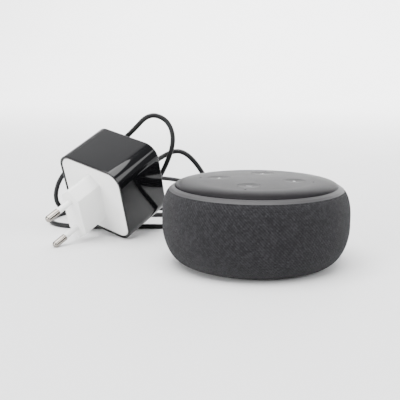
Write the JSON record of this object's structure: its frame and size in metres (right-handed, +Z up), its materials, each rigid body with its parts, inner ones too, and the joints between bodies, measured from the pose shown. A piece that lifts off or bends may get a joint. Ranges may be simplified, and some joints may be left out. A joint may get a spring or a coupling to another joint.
{
  "type": "smart speaker",
  "caption": "Low round fabric-covered smart speaker with dished top buttons, a light ring, rear sockets, and its plug-in wall power supply on a cord.",
  "frame": {"origin": "on the floor, at the speaker's vertical axis", "axes": "+Z up, +Y towards the sockets at the speaker's back, +X to the right seen from the front"},
  "size_m": [0.2003, 0.1874, 0.0729],
  "materials": {
    "charcoal_knit": "melange charcoal knit, matte",
    "black_plastic": "moulded black, fine texture",
    "foot_rubber": "soft black non-slip rubber",
    "zinc_steel": "zinc-plated steel",
    "top_plastic": "dark grey, fine matte texture",
    "ring_diffuser": "unlit grey translucent diffuser",
    "button_plastic": "dark grey, fine matte texture",
    "circuit_board": "green solder mask",
    "led_lens": "clear white lens",
    "tin_plate": "tin-plated sheet",
    "chip_plastic": "moulded black package",
    "bare_aluminium": "bare rolled sheet",
    "antenna_foil": "foil on film",
    "chamber_plastic": "moulded dark grey",
    "foam_gasket": "closed-cell foam",
    "driver_paint": "black e-coat on pressed steel",
    "ferrite": "sintered ferrite, grey",
    "copper_winding": "enamelled copper wire",
    "cone_paper": "coated paper",
    "spider_cloth": "resin-dipped cloth",
    "surround_rubber": "rolled rubber",
    "wire_insulation": "insulated wire",
    "port_plastic": "moulded black, satin",
    "nickel_plate": "nickel plated",
    "flex_film": "amber polyimide film",
    "cord_rubber": "satin black cord jacket",
    "tie_wire": "black twist tie",
    "gloss_black": "polished black housing",
    "white_plastic": "satin white insulating plastic",
    "pin_metal": "nickel-plated brass pins",
    "capacitor_sleeve": "shrink sleeve"
  },
  "bodies": {
    "speaker": {"acoustic_chamber": "chamber_plastic", "antennas": "antenna_foil", "audio_jack": "black_plastic", "base_plate": "black_plastic", "base_screws": "zinc_steel", "board_components": "chip_plastic", "chassis": "black_plastic", "dc_jack": "black_plastic", "dc_jack_pin": "nickel_plate", "driver_basket": "driver_paint", "driver_gasket": "foam_gasket", "driver_magnet": "ferrite", "driver_screws": "zinc_steel", "driver_spider": "spider_cloth", "driver_surround": "surround_rubber", "driver_terminals": "circuit_board", "driver_top_plate": "zinc_steel", "driver_yoke": "zinc_steel", "fabric_sleeve": "charcoal_knit", "flex_cable": "flex_film", "foot_pad": "foot_rubber", "heat_spreader": "bare_aluminium", "led_set": "led_lens", "light_ring": "ring_diffuser", "main_board": "circuit_board", "microphones": "tin_plate", "port_board": "circuit_board", "port_insert": "port_plastic", "processor": "chip_plastic", "shield_can": "tin_plate", "side_shell": "black_plastic", "sound_deflector": "black_plastic", "speaker_wires": "wire_insulation", "stack_screws": "zinc_steel", "tact_switches": "tin_plate", "top_cover": "top_plastic"},
    "volume_up_key": {"volume_up_button": "button_plastic"},
    "microphone_key": {"microphone_button": "button_plastic"},
    "volume_down_key": {"volume_down_button": "button_plastic"},
    "action_key": {"action_button": "button_plastic"},
    "cone": {"driver_cone": "cone_paper", "dust_cap": "cone_paper", "voice_coil": "copper_winding"},
    "power_supply": {"dc_plug_barrel": "nickel_plate", "dc_plug_grip": "cord_rubber", "cord_coil": "cord_rubber", "cord_tie": "tie_wire", "cord_from_plug": "cord_rubber", "adapter_sleeve": "gloss_black", "adapter_face": "white_plastic", "mains_pins": "pin_metal", "pin_collars": "white_plastic", "adapter_board": "circuit_board", "transformer_core": "ferrite", "transformer_winding": "copper_winding", "mains_capacitor": "capacitor_sleeve", "output_capacitors": "capacitor_sleeve", "heat_sink": "bare_aluminium", "adapter_strain_relief": "cord_rubber", "cord_to_adapter": "cord_rubber"}
  },
  "joints": [
    {"name": "volume_up_press", "type": "slide", "parent": "speaker", "child": "volume_up_key", "axis": [0, 0, -1], "range_m": [0, 0.0004], "stiffness_N_per_m": 5000},
    {"name": "microphone_press", "type": "slide", "parent": "speaker", "child": "microphone_key", "axis": [0, 0, -1], "range_m": [0, 0.0004], "stiffness_N_per_m": 5000},
    {"name": "volume_down_press", "type": "slide", "parent": "speaker", "child": "volume_down_key", "axis": [0, 0, -1], "range_m": [0, 0.0004], "stiffness_N_per_m": 5000},
    {"name": "action_press", "type": "slide", "parent": "speaker", "child": "action_key", "axis": [0, 0, -1], "range_m": [0, 0.0004], "stiffness_N_per_m": 5000},
    {"name": "cone_travel", "type": "slide", "parent": "speaker", "child": "cone", "axis": [0, 0, -1], "range_m": [-0.0015, 0.0015], "stiffness_N_per_m": 1500, "deforming": ["driver_surround", "driver_spider"]},
    {"name": "plug_pull", "type": "slide", "parent": "speaker", "child": "power_supply", "axis": [0, 1, 0], "range_m": [0, 0.012]}
  ]
}
